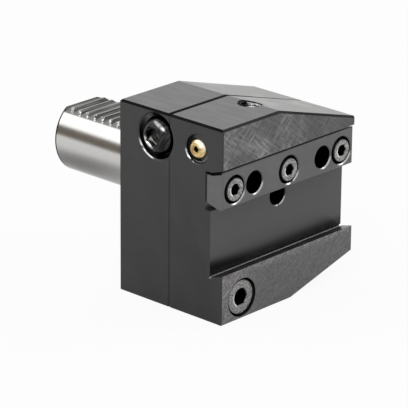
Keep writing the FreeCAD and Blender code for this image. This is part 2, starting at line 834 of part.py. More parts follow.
def make_nozzle():
    """Ball nozzle on the left face: the ball, its seat and the retaining ring."""
    ball = new_body("nozzle_ball")
    profile = new_sketch(ball, "ball_profile", "XZ_Plane")
    outline(profile, [
        (s.jet_radius, s.ball_front),
        (across_sphere(s.ball_radius, s.ball_front), s.ball_front),
        (across_sphere(s.ball_radius, s.ball_back), -s.ball_back),
        (s.jet_inlet_radius, -s.ball_back),
        (s.jet_radius, ZERO),
    ], {1: (s.ball_radius, True)})
    turn(ball, profile, "V_Axis")

    outer = s.nozzle_bore_radius - s.thread_clearance
    cup = s.ball_radius + s.nozzle_gap
    retainer = new_body("nozzle_retainer")
    profile = new_sketch(retainer, "retainer_profile", "XZ_Plane")
    outline(profile, [
        (across_sphere(cup, s.retainer_back), -s.retainer_back),
        (outer, -s.retainer_back),
        (outer, s.retainer_front),
        (across_sphere(cup, s.retainer_front), s.retainer_front),
    ], {3: (cup, True)})
    turn(retainer, profile, "V_Axis")

    seat = new_body("nozzle_seat")
    profile = new_sketch(seat, "seat_profile", "XZ_Plane")
    seat_top = s.retainer_back + s.nozzle_gap
    outline(profile, [
        (s.nozzle_channel_radius, -s.seat_back),
        (outer, -s.seat_back),
        (outer, -seat_top),
        (across_sphere(cup, seat_top), -seat_top),
        (s.nozzle_channel_radius, -across_sphere(cup, s.nozzle_channel_radius)),
    ], {3: (cup, True)})
    turn(seat, profile, "V_Axis")

    pieces = [ball, seat, retainer]
    for piece in pieces:
        place(piece, left_x + s.ball_depth, nozzle_y, s.coolant_height, *TO_LEFT)
    return pieces


def make_plugs():
    """Plug screws of the cross-drilled coolant ways, and the side plug's washer."""
    grub = new_body("top_port_plug")
    radius = s.port_radius - s.thread_clearance
    profile = new_sketch(grub, "grub_profile", "XZ_Plane")
    edge = s.head_chamfer
    outline(profile, [
        (ZERO, ZERO),
        (radius - edge, ZERO),
        (radius, -edge),
        (radius, edge - s.port_plug_length),
        (radius - edge, -s.port_plug_length),
        (ZERO, -s.port_plug_length),
    ])
    turn(grub, profile, "V_Axis")
    cut_socket(grub, "grub_socket", ZERO, s.small_socket, s.small_socket_depth)
    place(grub, -s.port_x, port_y, s.block_top - s.port_plug_sink, *UPRIGHT)

    washer_x = left_x + s.side_counterbore_depth
    screw = button_screw("side_plug_screw")
    place(screw, washer_x - s.side_washer_thickness, -s.side_plug_y, s.coolant_height, *TO_LEFT)
    washer = plain_ring("side_plug_washer", s.side_washer_radius,
                        s.large_thread_radius + s.thread_clearance, s.side_washer_thickness)
    place(washer, washer_x, -s.side_plug_y, s.coolant_height, *TO_LEFT)
    return [grub, screw, washer]


def make_seals():
    """Rubber rings: round the shank's root and round the coolant way at the seam."""
    shank = seal_ring("shank_seal_ring", s.shank_radius + s.face_groove_width / 2,
                      s.shank_ring_section)
    place(shank, 0, s.shank_ring_section - s.face_groove_depth, 0, *TO_FRONT)
    seam = seal_ring("seam_seal_ring", s.seam_ring_radius, s.seam_ring_section)
    place(seam, -s.coolant_x, seam_y - s.seam_ring_section, s.coolant_height, *TO_FRONT)
    return [shank, seam]


def check_and_write(pieces):
    """Stop on any failed object, then write one STEP file for each piece."""
    doc.recompute()
    for thing in doc.Objects:
        if "Invalid" in thing.State or "Error" in thing.State:
            raise RuntimeError(f"{thing.Label} failed: {thing.State}")
    os.makedirs("parts", exist_ok=True)
    for piece in pieces:
        shape = piece.Shape
        if shape.isNull() or not shape.isValid() or len(shape.Solids) != 1:
            raise RuntimeError(f"{piece.Label} has no valid solid")
        shape.exportStep(f"parts/{piece.Label}.step")
        print(f"{piece.Label}: {shape.Volume:.1f} mm3")


pieces = [make_flange(), make_blade_block(), make_wedge()]
pieces += make_clamp_sets() + make_block_screws() + make_dowels()
pieces += make_nozzle() + make_plugs() + make_seals()
check_and_write(pieces)
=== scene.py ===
import json
import math

import bpy
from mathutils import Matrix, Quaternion, Vector

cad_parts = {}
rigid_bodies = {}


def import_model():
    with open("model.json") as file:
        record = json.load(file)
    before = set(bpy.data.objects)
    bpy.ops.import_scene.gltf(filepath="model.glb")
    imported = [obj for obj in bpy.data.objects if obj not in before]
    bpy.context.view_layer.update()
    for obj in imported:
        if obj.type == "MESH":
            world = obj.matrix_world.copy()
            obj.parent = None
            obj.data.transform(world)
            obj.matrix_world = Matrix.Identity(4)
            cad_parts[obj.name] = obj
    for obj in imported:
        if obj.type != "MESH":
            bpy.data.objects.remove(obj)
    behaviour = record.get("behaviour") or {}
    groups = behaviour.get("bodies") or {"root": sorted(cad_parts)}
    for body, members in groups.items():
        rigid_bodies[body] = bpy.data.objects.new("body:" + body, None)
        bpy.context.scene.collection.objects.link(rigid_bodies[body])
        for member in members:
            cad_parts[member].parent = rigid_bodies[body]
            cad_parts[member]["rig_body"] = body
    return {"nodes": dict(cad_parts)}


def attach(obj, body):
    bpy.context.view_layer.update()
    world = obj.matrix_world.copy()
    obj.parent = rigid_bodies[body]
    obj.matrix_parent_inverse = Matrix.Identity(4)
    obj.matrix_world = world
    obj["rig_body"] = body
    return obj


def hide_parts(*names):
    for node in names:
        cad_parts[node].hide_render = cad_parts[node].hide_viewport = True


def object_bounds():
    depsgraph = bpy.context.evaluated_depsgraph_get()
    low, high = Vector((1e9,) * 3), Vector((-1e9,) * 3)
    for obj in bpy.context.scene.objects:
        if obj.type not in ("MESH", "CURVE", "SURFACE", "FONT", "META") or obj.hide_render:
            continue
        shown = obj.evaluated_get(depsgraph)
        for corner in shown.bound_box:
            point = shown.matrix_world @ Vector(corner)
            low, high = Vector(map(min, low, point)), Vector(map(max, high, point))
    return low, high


# Turret tool holder for parting-off blades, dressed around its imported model.
# Blender works in metres: the origin lies on the shank axis in the flange's
# contact face, +Y runs along the shank, -Y is the blade side and +Z is up.
# Sizes and places are written in millimetres and times MM where they are used.

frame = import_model()
cad_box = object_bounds()

MM = 0.001

# Sides of a turned piece and of a thread, and rings in one pitch of a thread.
ROUND = 72
THREAD_SIDES = 36
THREAD_RINGS = 6

# Softened edges of the blocks and the bar, in millimetres, and the angles in degrees
# below which faces shade smoothly. The roof's ridge is sharper than BLOCK_SMOOTH.
EDGE_SOFTNESS = 0.07
BLOCK_SMOOTH = 12
PIECE_SMOOTH = 30

# The camera stands where the photograph was taken from.
CAMERA_AZIMUTH = -47.28
CAMERA_ELEVATION = 20.55
CAMERA_ROLL = 0.52
CAMERA_DISTANCE = 1001.62
CAMERA_TARGET = (-17.65, -24.84, -4.17)
IMAGE_WIDTH = 408
FOCAL_PIXELS = 2795.0
SENSOR_WIDTH = 36

# The floor lies this far below the holder, so that the two never share a plane.
FLOOR_GAP = 0.05

# The shank's radius and end, and the blocks' faces.
SHANK_RADIUS, SHANK_END = 15.0, 55.0
LEFT = -35.5
FRONT = -50.0
TOP = 34.0
SEAM = -24.5
RIDGE_X = -5.7
TOP_SLOPE = math.tan(math.radians(16))
SEAT_FRONT_Z = -20.2
SLOT_Y = -44.4

# The chamfer along the top of the joint: how far its upper edge moves along Y on each
# block, and how far its lower edge moves down.
FLANGE_JOINT, BLADE_JOINT, JOINT_DOWN = 0.7, -0.4, 0.5

# Holes and screws that several pieces share.
CLAMP_X = 28.6
ACCESS_X = 18.3
CLAMP_Z = 10.6
CLAMP_BEARING_Y = -46.3
WASHER_THICKNESS = 0.8
UPPER_BEARING_Y = -33.8
LOWER_X, LOWER_Z = -24.7, -31.0
LOWER_BEARING_Y = -41.4
COOLANT_Z = 24.3
COOLANT_X = -8.0
SIDE_Y = -18.0
SIDE_WASHER_X = -32.1
NOZZLE_X, NOZZLE_Y = -32.8, -37.7
PORT_X, PORT_Y = -6.4, -36.4
PORT_RADIUS = 4.4
PORT_PLUG_TOP = 31.0

# Cap screws: head, hexagon socket and thread (radius, pitch, length).
CLAMP_SCREW = {"head_radius": 4.25, "head_height": 3.5, "edge": 0.35,
               "socket": 4.0, "socket_depth": 2.0, "thread": (2.5, 0.8, 16.0)}
HIDDEN_SCREW = {"head_radius": 5.0, "head_height": 6.0, "edge": 0.45,
                "socket": 5.0, "socket_depth": 2.6, "thread": (3.0, 1.0, 18.0)}
LOWER_SCREW = {"head_radius": 6.5, "head_height": 8.0, "edge": 0.5,
               "socket": 6.0, "socket_depth": 4.0, "thread": (4.0, 1.25, 30.0)}

# Soft boxes: azimuth and elevation in degrees, distance and size in metres, watts.
LAMPS = {"left_box": (-62, 40, 0.9, 0.3, 1.0), "right_box": (62, 40, 0.9, 0.3, 1.6),
         "rear_left_box": (-133, 42, 0.9, 0.85, 1.7), "rear_right_box": (133, 26, 1.0, 0.9, 0.7)}


def direction(azimuth, elevation):
    """Unit vector from the object towards a viewing angle; azimuth 0 is the front."""
    a, e = math.radians(azimuth), math.radians(elevation)
    return Vector((math.sin(a) * math.cos(e), -math.cos(a) * math.cos(e), math.sin(e)))


def add_camera():
    back = direction(CAMERA_AZIMUTH, CAMERA_ELEVATION)
    data = bpy.data.cameras.new("camera")
    data.sensor_width = SENSOR_WIDTH
    data.lens = FOCAL_PIXELS / IMAGE_WIDTH * SENSOR_WIDTH
    data.clip_start = 0.01
    camera = bpy.data.objects.new("camera", data)
    camera.location = (Vector(CAMERA_TARGET) + back * CAMERA_DISTANCE) * MM
    camera.rotation_mode = "QUATERNION"
    roll = Quaternion((0, 0, 1), math.radians(CAMERA_ROLL))
    camera.rotation_quaternion = back.to_track_quat("Z", "Y") @ roll
    bpy.context.scene.collection.objects.link(camera)
    bpy.context.scene.camera = camera


class Wire:
    """One output of a shader node, with arithmetic that adds Math nodes."""

    def __init__(self, finish, socket):
        self.finish = finish
        self.socket = socket

    def __add__(self, other):
        return self.finish.maths("ADD", self, other)

    __radd__ = __add__

    def __mul__(self, other):
        return self.finish.maths("MULTIPLY", self, other)

    __rmul__ = __mul__

    def __sub__(self, other):
        return self.finish.maths("SUBTRACT", self, other)

    def __rsub__(self, other):
        return self.finish.maths("SUBTRACT", other, self)

    def __pow__(self, other):
        return self.finish.maths("POWER", self, other)

    def __abs__(self):
        return self.finish.maths("ABSOLUTE", self)

    def most(self, other):
        return self.finish.maths("MAXIMUM", self, other)


def find_socket(sockets, name):
    for socket in sockets:
        if socket.identifier == name or socket.name == name:
            return socket
    raise KeyError(name)


def grey(level, red=1.0, green=1.0, blue=1.0):
    return (level * red, level * green, level * blue, 1.0)


UNLIT = grey(0.004)
# Steel rubbed through the black, painted on only where an edge faces a lamp: a painted glint.
GLINT_STEEL = grey(0.55)


class Finish:
    """A procedural material with one Principled shader, measured in millimetres."""

    def __init__(self, name):
        self.material = bpy.data.materials.new(name)
        self.material.use_nodes = True
        self.tree = self.material.node_tree
        self.tree.nodes.clear()
        self.shader = self.tree.nodes.new("ShaderNodeBsdfPrincipled")
        self.output = self.tree.nodes.new("ShaderNodeOutputMaterial")
        self.tree.links.new(self.shader.outputs[0], self.output.inputs["Surface"])
        own = self.node("ShaderNodeTexCoord", {}, {}, "Object")
        self.place = self.stretched(own, 1 / MM, 1 / MM, 1 / MM)
        self.x, self.y, self.z = self.axes(self.place)
        normal = Wire(self, find_socket(own.socket.node.outputs, "Normal"))
        self.nx, self.ny, self.nz = self.axes(normal)

    def node(self, kind, settings, values, output=0):
        """Add a node, set it up, feed its sockets and return one of its outputs."""
        made = self.tree.nodes.new(kind)
        for name, setting in settings.items():
            setattr(made, name, setting)
        for name, value in values.items():
            self.feed(made, name, value)
        if isinstance(output, str):
            return Wire(self, find_socket(made.outputs, output))
        return Wire(self, made.outputs[output])

    def feed(self, made, name, value):
        socket = made.inputs[name] if isinstance(name, int) else find_socket(made.inputs, name)
        if isinstance(value, Wire):
            self.tree.links.new(value.socket, socket)
        else:
            socket.default_value = value

    def maths(self, operation, *values):
        return self.node("ShaderNodeMath", {"operation": operation}, dict(enumerate(values)))

    def set(self, **values):
        """Feed sockets of the Principled shader; an underscore stands for a space."""
        for name, value in values.items():
            self.feed(self.shader, name.replace("_", " "), value)

    def axes(self, vector):
        """The three parts of a vector."""
        parts = self.node("ShaderNodeSeparateXYZ", {}, {"Vector": vector})
        return [Wire(self, socket) for socket in parts.socket.node.outputs]

    def stretched(self, vector, *factors):
        return self.node("ShaderNodeVectorMath", {"operation": "MULTIPLY"}, {0: vector, 1: factors})

    def noise(self, vector, scale, detail, roughness=0.5):
        return self.node("ShaderNodeTexNoise", {}, {
            "Vector": vector, "Scale": scale, "Detail": detail, "Roughness": roughness}, "Fac")

    def turning(self, gap, scale):
        """Rings left by a lathe tool, at a distance from the axis."""
        around = self.node("ShaderNodeCombineXYZ", {}, {"X": gap})
        return self.noise(around, scale, 2, 0.6)

    def step(self, value, low, high):
        """0 below low, 1 above high and smooth between; low may be the larger."""
        return self.node("ShaderNodeMapRange", {"interpolation_type": "SMOOTHSTEP"},
                         {"Value": value, "From Min": low, "From Max": high})

    def band(self, value, low, high, soft):
        """1 between low and high, fading to 0 over soft on both sides."""
        return self.step(value, low - soft, low) * self.step(value, high + soft, high)

    def mix(self, factor, first, second):
        return self.node("ShaderNodeMix", {"data_type": "RGBA"}, {
            "Factor_Float": factor, "A_Color": first, "B_Color": second}, "Result_Color")

    def bump(self, height, distance, strength):
        return self.node("ShaderNodeBump", {}, {
            "Height": height, "Distance": distance * MM, "Strength": strength})

    def lines(self, degrees, length, spacing, low, high):
        """Fine straight marks along X, turned about Y by some degrees."""
        run = self.node("ShaderNodeVectorRotate", {"rotation_type": "Y_AXIS"},
                        {"Vector": self.place, "Angle": math.radians(degrees)})
        across = 1 / spacing
        return self.step(self.noise(self.stretched(run, 1 / length, across, across), 1.0, 1.0),
                         low, high)

    def gap(self, hole):
        """Distance from a round hole's axis, measured across and along its face."""
        across, along = getattr(self, hole["axes"][0]), getattr(self, hole["axes"][1])
        return ((across - hole["centre"][0]) ** 2 + (along - hole["centre"][1]) ** 2) ** 0.5

    def rim(self, hole, half_width, sharp):
        """1 on the broken edge of a round hole, where it faces a soft box."""
        near = self.step(abs(self.gap(hole) - hole["radius"]), half_width + 0.05, half_width)
        across, along = getattr(self, hole["axes"][0]), getattr(self, hole["axes"][1])
        lit_x, lit_y = hole["lit"]
        turn = (across - hole["centre"][0]) * lit_x + (along - hole["centre"][1]) * lit_y
        return near * self.step(turn * (1 / hole["radius"]), 1 - sharp, 1 - sharp / 3)

    def well(self, hole, deep):
        """1 inside a round hole below its broken edge."""
        return self.step(self.gap(hole), hole["radius"] + 0.12, hole["radius"] + 0.04) * deep


def add_floor(low_z):
    """A pale floor: nearly white to the eye, with painted shade near the holder that shows in
    reflections.
    """
    bpy.ops.mesh.primitive_plane_add(size=12, location=(0, 0, low_z))
    floor = bpy.context.object
    floor.name = "floor"
    paint = Finish("pale_floor")
    path = paint.node("ShaderNodeLightPath", {}, {}, "Is Camera Ray")
    glossy = Wire(paint, find_socket(path.socket.node.outputs, "Is Glossy Ray"))
    pale, dim = grey(0.85), grey(0.12)
    seen_white, near_white, far_white = 0.92, 0.12, 0.65
    from_shank = ((paint.x + 20) ** 2 + (paint.y - 75) ** 2) ** 0.5
    shade = glossy * paint.step(from_shank, 62, 2) * 0.9
    matt = paint.node("ShaderNodeBsdfDiffuse", {}, {"Color": paint.mix(shade, pale, dim)})
    glow = paint.node("ShaderNodeEmission", {}, {"Color": grey(1.0)})
    far = paint.step((paint.x ** 2 + paint.y ** 2) ** 0.5, 40, 420)
    share = path * seen_white + glossy * (far * far_white + near_white)
    blend = paint.node("ShaderNodeMixShader", {}, {0: share, 1: matt, 2: glow})
    output = find_socket(paint.output.inputs, "Surface")
    paint.tree.links.new(blend.socket, output)
    floor.data.materials.append(paint.material)


def add_surround():
    """White seen by the eye and in reflections, and a softer light on matt surfaces."""
    world = bpy.data.worlds.new("surround")
    bpy.context.scene.world = world
    world.use_nodes = True
    nodes, links = world.node_tree.nodes, world.node_tree.links
    nodes.clear()
    path = nodes.new("ShaderNodeLightPath")
    seen = nodes.new("ShaderNodeMath")
    seen.operation = "MAXIMUM"
    links.new(path.outputs["Is Camera Ray"], seen.inputs[0])
    links.new(path.outputs["Is Glossy Ray"], seen.inputs[1])
    blend = nodes.new("ShaderNodeMixShader")
    links.new(seen.outputs[0], blend.inputs[0])
    soft_strength, seen_strength = 0.62, 1.0
    for place, strength in ((1, soft_strength), (2, seen_strength)):
        light = nodes.new("ShaderNodeBackground")
        light.inputs["Color"].default_value = grey(1.0)
        light.inputs["Strength"].default_value = strength
        links.new(light.outputs[0], blend.inputs[place])
    output = nodes.new("ShaderNodeOutputWorld")
    links.new(blend.outputs[0], output.inputs["Surface"])


def add_lamp(name, azimuth, elevation, distance, size, watts):
    """A square soft box that looks at the holder."""
    data = bpy.data.lights.new(name, "AREA")
    data.size = size
    data.energy = watts
    lamp = bpy.data.objects.new(name, data)
    away = direction(azimuth, elevation)
    lamp.location = Vector(CAMERA_TARGET) * MM + away * distance
    lamp.rotation_mode = "QUATERNION"
    lamp.rotation_quaternion = away.to_track_quat("Z", "Y")
    bpy.context.scene.collection.objects.link(lamp)


def add_dark_board(low_z):
    """A dark brown board far behind the shank, which shows in its reflections only."""
    azimuth, distance, height, width = -133, 0.7, 0.255, 0.8
    away = direction(azimuth, 0)
    place = away * distance + Vector((0, 0, low_z + height / 2))
    bpy.ops.mesh.primitive_plane_add(size=1, location=place)
    board = bpy.context.object
    board.name = "dark_board"
    board.rotation_mode = "QUATERNION"
    board.rotation_quaternion = away.to_track_quat("Z", "Y")
    board.scale = (width, height, 1)
    card = Finish("dark_card")
    card.set(Base_Color=(0.15, 0.12, 0.09, 1), Roughness=0.9)
    board.data.materials.append(card.material)
    board.visible_camera = False
    board.visible_shadow = False
    board.visible_diffuse = False


# Modelling ---------------------------------------------------------------

def deselect():
    bpy.ops.object.select_all(action="DESELECT")


def edit():
    bpy.ops.object.mode_set(mode="EDIT")


def leave():
    bpy.ops.object.mode_set(mode="OBJECT")


def take(piece):
    deselect()
    piece.select_set(True)
    bpy.context.view_layer.objects.active = piece


def turned(name, stations, hollow=False):
    """A lathed piece round its own Z axis, through (radius, height) stations.

    A solid one has a flat face at both ends, and a hollow one closes on itself.
    """
    deselect()
    radius, height = stations[0]
    bpy.ops.mesh.primitive_circle_add(vertices=ROUND, radius=radius * MM,
                                      fill_type="NOTHING" if hollow else "NGON")
    piece = bpy.context.object
    piece.name = name
    edit()
    bpy.ops.mesh.select_all(action="SELECT")
    bpy.ops.transform.translate(value=(0, 0, height * MM))
    around = stations[1:] + (stations[:1] if hollow else [])
    for next_radius, next_height in around:
        bpy.ops.mesh.extrude_region_move()
        bpy.ops.transform.translate(value=(0, 0, (next_height - height) * MM))
        factor = next_radius / radius
        bpy.ops.transform.resize(value=(factor, factor, 1), center_override=(0, 0, 0))
        radius, height = next_radius, next_height
    bpy.ops.mesh.select_all(action="SELECT")
    bpy.ops.mesh.remove_doubles(threshold=0.001 * MM)
    bpy.ops.mesh.normals_make_consistent(inside=False)
    leave()
    return piece


def arc(start, end, radius, count):
    """Stations after start up to end, on an arc that bulges away from the axis."""
    a, b = Vector(start), Vector(end)
    chord = b - a
    rise = math.sqrt(radius ** 2 - (chord.length / 2) ** 2)
    side = Vector((-chord.y, chord.x)).normalized()
    if side.x > 0:
        side = -side
    centre = (a + b) / 2 + side * rise
    first = math.atan2(a.y - centre.y, a.x - centre.x)
    last = math.atan2(b.y - centre.y, b.x - centre.x)
    made = []
    for index in range(1, count + 1):
        angle = first + (last - first) * index / count
        made.append((centre.x + radius * math.cos(angle), centre.y + radius * math.sin(angle)))
    return made


def cut(piece, cutter):
    """Take one piece out of another."""
    take(piece)
    bite = piece.modifiers.new("bite", "BOOLEAN")
    bite.operation = "DIFFERENCE"
    bite.solver = "EXACT"
    bite.object = cutter
    bpy.ops.object.modifier_apply(modifier=bite.name)
    bpy.data.objects.remove(cutter, do_unlink=True)


def cut_cone(piece, low_radius, high_radius, height, top):
    """Cut a cone out of a piece along its axis; the cone ends at top."""
    deselect()
    bpy.ops.mesh.primitive_cone_add(vertices=48, radius1=low_radius * MM, radius2=high_radius * MM,
                                    depth=height * MM, location=(0, 0, (top - height / 2) * MM))
    cut(piece, bpy.context.object)


def cut_socket(piece, top, across_flats, depth, mouth):
    """A hexagon socket with a countersunk mouth and a drill point at its bottom."""
    corner = across_flats / math.sqrt(3)
    turn = (0, 0, math.radians(30))
    deselect()
    bpy.ops.mesh.primitive_cylinder_add(vertices=6, radius=corner * MM, depth=2 * depth * MM,
                                        location=(0, 0, top * MM), rotation=turn)
    cut(piece, bpy.context.object)
    above, into_floor = 0.1, 0.02
    cut_cone(piece, corner + above - mouth, corner + above, mouth, top + above)
    cut_cone(piece, 0, across_flats * 0.47, across_flats * 0.25, top - depth + into_floor)


def knurl(piece, radius, low, high, depth):
    """Straight knurling: every second edge of a head's side is drawn in."""
    take(piece)
    edit()
    bpy.ops.mesh.select_all(action="DESELECT")
    leave()
    for vertex in piece.data.vertices:
        x, y, z = vertex.co / MM
        turn = round(math.atan2(y, x) / math.tau * ROUND)
        on_side = abs(math.hypot(x, y) - radius) < 0.01 and low < z < high
        vertex.select = on_side and turn % 2 == 0
    edit()
    factor = 1 - depth / radius
    bpy.ops.transform.resize(value=(factor, factor, 1), center_override=(0, 0, 0))
    leave()


def threaded(name, radius, pitch, low, high, inward=True, top=None):
    """A helical thread round Z: a grid that is rolled up, ridged and closed.

    inward threads stand on a solid rod; the others line a bore, and top gives the
    height at which the lining ends under a sloping face.
    """
    deselect()
    rings = round((high - low) / pitch * THREAD_RINGS)
    bpy.ops.mesh.primitive_grid_add(x_subdivisions=THREAD_SIDES, y_subdivisions=rings, size=1)
    piece = bpy.context.object
    piece.name = name
    ridge = 0.6 * pitch
    for vertex in piece.data.vertices:
        angle = (vertex.co.x + 0.5) * math.tau
        share = vertex.co.y + 0.5
        reach = high if top is None else min(high, top(angle))
        height = low + (reach - low) * share
        wave = abs(2 * ((height / pitch - angle / math.tau) % 1) - 1)
        groove = ridge * min(1.0, max(0.0, 1.35 * wave - 0.15))
        end = min(height - low, pitch)
        trim = ridge * (1 - end / pitch)
        away = radius - max(groove, trim)
        vertex.co = Vector((away * math.cos(angle), away * math.sin(angle), height)) * MM
    take(piece)
    edit()
    bpy.ops.mesh.select_all(action="SELECT")
    bpy.ops.mesh.remove_doubles(threshold=0.001 * MM)
    if inward:
        bpy.ops.mesh.fill_holes(sides=0)
    bpy.ops.mesh.select_all(action="SELECT")
    bpy.ops.mesh.normals_make_consistent(inside=False)
    leave()
    if not inward:
        wall_thickness = 0.25
        wall = piece.modifiers.new("wall", "SOLIDIFY")
        wall.thickness = wall_thickness * MM
        wall.offset = 1
        bpy.ops.object.modifier_apply(modifier=wall.name)
    return piece


def joined(first, second):
    take(first)
    second.select_set(True)
    bpy.ops.object.join()
    return first


def stood(piece, place, towards):
    """Stand a piece that was made along +Z at its place, looking towards an axis."""
    take(piece)
    turns = {"front": Quaternion((1, 0, 0), math.radians(90)),
             "left": Quaternion((0, 1, 0), math.radians(-90)),
             "up": Quaternion((1, 0, 0, 0))}
    piece.rotation_mode = "QUATERNION"
    piece.rotation_quaternion = turns[towards]
    piece.location = Vector(place) * MM
    bpy.ops.object.transform_apply(location=True, rotation=True, scale=True)


def dress(piece, node, finish, smooth=PIECE_SMOOTH):
    """Give a piece its finish and let it stand for a node on that node's body."""
    take(piece)
    bpy.ops.object.shade_smooth_by_angle(angle=math.radians(smooth))
    piece.data.materials.clear()
    piece.data.materials.append(finish.material)
    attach(piece, frame["nodes"][node]["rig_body"])
    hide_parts(node)


def widen_joint(piece, along):
    """Widen a block's chamfer along the top of the joint between the two blocks."""
    near, below_top, in_face = 0.5, 0.6, 0.05
    mesh = piece.data
    for in_joint, shift in ((True, (0, 0, -JOINT_DOWN)), (False, (0, along, 0))):
        for part in (mesh.vertices, mesh.edges, mesh.polygons):
            part.foreach_set("select", [False] * len(part))
        for corner in mesh.vertices:
            from_joint, height = abs(corner.co.y / MM - SEAM), corner.co.z / MM
            at_top = from_joint < near and height > TOP - below_top
            corner.select = at_top and (from_joint < in_face) == in_joint
        edit()
        bpy.ops.transform.translate(value=Vector(shift) * MM)
        leave()


def tidied_copy(node, name, joint=0.0):
    """A copy of a node with its faces merged and its sharp edges softened."""
    source = frame["nodes"][node]
    piece = bpy.data.objects.new(name, source.data.copy())
    bpy.context.scene.collection.objects.link(piece)
    take(piece)
    edit()
    bpy.ops.mesh.select_all(action="SELECT")
    bpy.ops.mesh.customdata_custom_splitnormals_clear()
    bpy.ops.mesh.remove_doubles(threshold=0.0005 * MM)
    bpy.ops.mesh.dissolve_limited(angle_limit=math.radians(0.3))
    leave()
    if joint:
        widen_joint(piece, joint)
    soft = piece.modifiers.new("soft_edges", "BEVEL")
    soft.width = EDGE_SOFTNESS * MM
    soft.segments = 2
    soft.limit_method = "ANGLE"
    soft.angle_limit = math.radians(35)
    bpy.ops.object.modifier_apply(modifier=soft.name)
    return piece


# Finishes ----------------------------------------------------------------

def upward(finish):
    """1 on the flat top and on the slopes."""
    return finish.step(finish.nz, 0.9, 0.94)


def oxide_base(finish, level, warm=0.04):
    """Mottled colour, fine grain and patches that every blackened face shares."""
    patches = finish.noise(finish.place, 0.09, 3, 0.6)
    grain = finish.noise(finish.place, 5.0, 2, 0.6)
    tint = finish.mix(finish.step(patches, 0.35, 0.65), grey(level * 0.9, 0.97, 1.0, 1.03),
                      grey(level * 1.15, 1 + warm, 1.0, 1 - warm))
    wipes = finish.noise(finish.stretched(finish.place, 0.35, 0.06, 0.06), 1.0, 3, 0.6)
    wiped = finish.step(wipes, 0.42, 0.62) * upward(finish)
    tint = finish.mix(wiped, tint, grey(level * 2.4))
    return finish.mix((grain - 0.45) * 0.5, tint, grey(level * 3)), grain, patches


def hole(axes, centre, radius=1.0, lit=(1, 0)):
    """A round hole in a face: its axes, centre, radius and the side that catches light."""
    length = math.hypot(*lit)
    return {"axes": axes, "centre": centre, "radius": radius,
            "lit": (lit[0] / length, lit[1] / length)}


NOZZLE_HOLE = hole("yz", (NOZZLE_Y, COOLANT_Z), 5.45, (0.75, -0.66))
SIDE_HOLE = hole("yz", (SIDE_Y, COOLANT_Z), 8.7, (0.62, -0.78))
PORT_HOLE = hole("xy", (PORT_X, PORT_Y), PORT_RADIUS)
LOWER_HOLE = hole("xz", (LOWER_X, LOWER_Z), 7.15)
DOWEL_HOLE = hole("xz", (0, 0), 4.22, (0.35, -0.94))
BOLT_HOLES = tuple(hole("xz", (x, CLAMP_Z), 5.7) for x in (-ACCESS_X, ACCESS_X))
BAR_HOLES = (tuple(hole("xz", (x, CLAMP_Z), 5.42, (0.45, -0.9)) for x in (-CLAMP_X, 0, CLAMP_X))
             + tuple(hole("xz", (x, CLAMP_Z), 4.42, (0.6, -0.8)) for x in (-ACCESS_X, ACCESS_X)))


def dark_metal(finish, colour, metal, masks):
    """Blacken what no light reaches: colour and metallic with each mask in turn."""
    for mask in masks:
        colour = finish.mix(mask, colour, UNLIT)
        metal = mask.most(metal)
    return colour, metal


def shaded_top_chamfers(finish):
    """1 on the wide chamfers round the top, which are painted almost black: painted shade."""
    return finish.band(finish.nz, 0.55, 0.82, 0.03) * finish.step(finish.z, 20, 22)


def counterbore(finish, colour, in_left):
    """The plug's counterbore: black in the shade, with a dull gleam on its lit side."""
    deep = finish.well(SIDE_HOLE, in_left)
    lit = (finish.y - SIDE_Y) * 0.99 - (finish.z - COOLANT_Z) * 0.15
    gleam = finish.mix(finish.step(finish.nx, -0.6, -0.8), grey(0.075), grey(0.7))
    inside = finish.mix(finish.step(lit, 3.0, 6.5), UNLIT, gleam)
    return finish.mix(deep, colour, inside), deep


def recess_roof(finish):
    """1 on the recess's roof above the clamp bar and just beside it, which is painted black:
    painted shade.
    """
    low = finish.step(finish.nz, -0.8, -0.9) * finish.step(finish.z, 16.5, 17.0)
    return low * finish.step(finish.z, 20, 19)


def glint_stretches(finish, mask, low, high):
    """Break a rim's painted glint, on steel rubbed through the black, up into short stretches."""
    return mask * finish.step(finish.noise(finish.place, 0.5, 2, 0.6), low, high)


def left_face(finish):
    """1 on the left face and the broken edges of its holes."""
    return finish.step(finish.x, LEFT + 1.2, LEFT + 0.7)


def in_left_face(finish):
    """1 inside the left face's holes, as deep as they can be seen."""
    deep = finish.step(finish.x, LEFT + 0.35, LEFT + 0.6)
    return deep * finish.step(finish.x, LEFT + 9, LEFT + 8)


def slope_streaks(finish, colour):
    """Fine grinding streaks down the slopes, which are painted paler than the flat top, with a few
    brighter patches.
    """
    run = finish.stretched(finish.place, 0.05, 1.6, 0.05)
    streaks = finish.noise(run, 1.0, 4, 0.7)
    wear_and_highlight = finish.step(finish.noise(finish.place, 0.09, 2, 0.5), 0.48, 0.66)
    slope = finish.step(finish.nx, 0.15, 0.25) * upward(finish)
    colour = finish.mix(slope * (streaks * 0.6 + 0.3), colour, grey(0.12, 1.02, 1.0, 0.96))
    colour = finish.mix(slope * wear_and_highlight * streaks * 0.8, colour, grey(0.35, 1.02, 1.0, 0.96))
    return colour, slope * (streaks - 0.5) * 0.2


def black_roughness(patches, streaked):
    """Roughness of the black faces, rougher and smoother by turns along the streaks."""
    return 0.26 + patches * 0.08 + streaked


def crosshatch(finish):
    """File marks across the front face, strongest at the left and in rubbed patches."""
    upper = finish.step(finish.z, 12, 18) * finish.step(finish.y, -49, -49.6)
    rubbed = finish.step(finish.noise(finish.place, 0.075, 2), 0.30, 0.60)
    leftward = finish.step(finish.x, 26, -14)
    marks = finish.lines(44, 7, 0.21, 0.50, 0.64)
    marks = marks.most(finish.lines(-40, 6, 0.23, 0.53, 0.66))
    marks = marks.most(finish.lines(24, 9, 0.20, 0.56, 0.68) * 0.8)
    return marks * (rubbed * 0.7 + 0.3) * (leftward * 0.75 + 0.25), upper


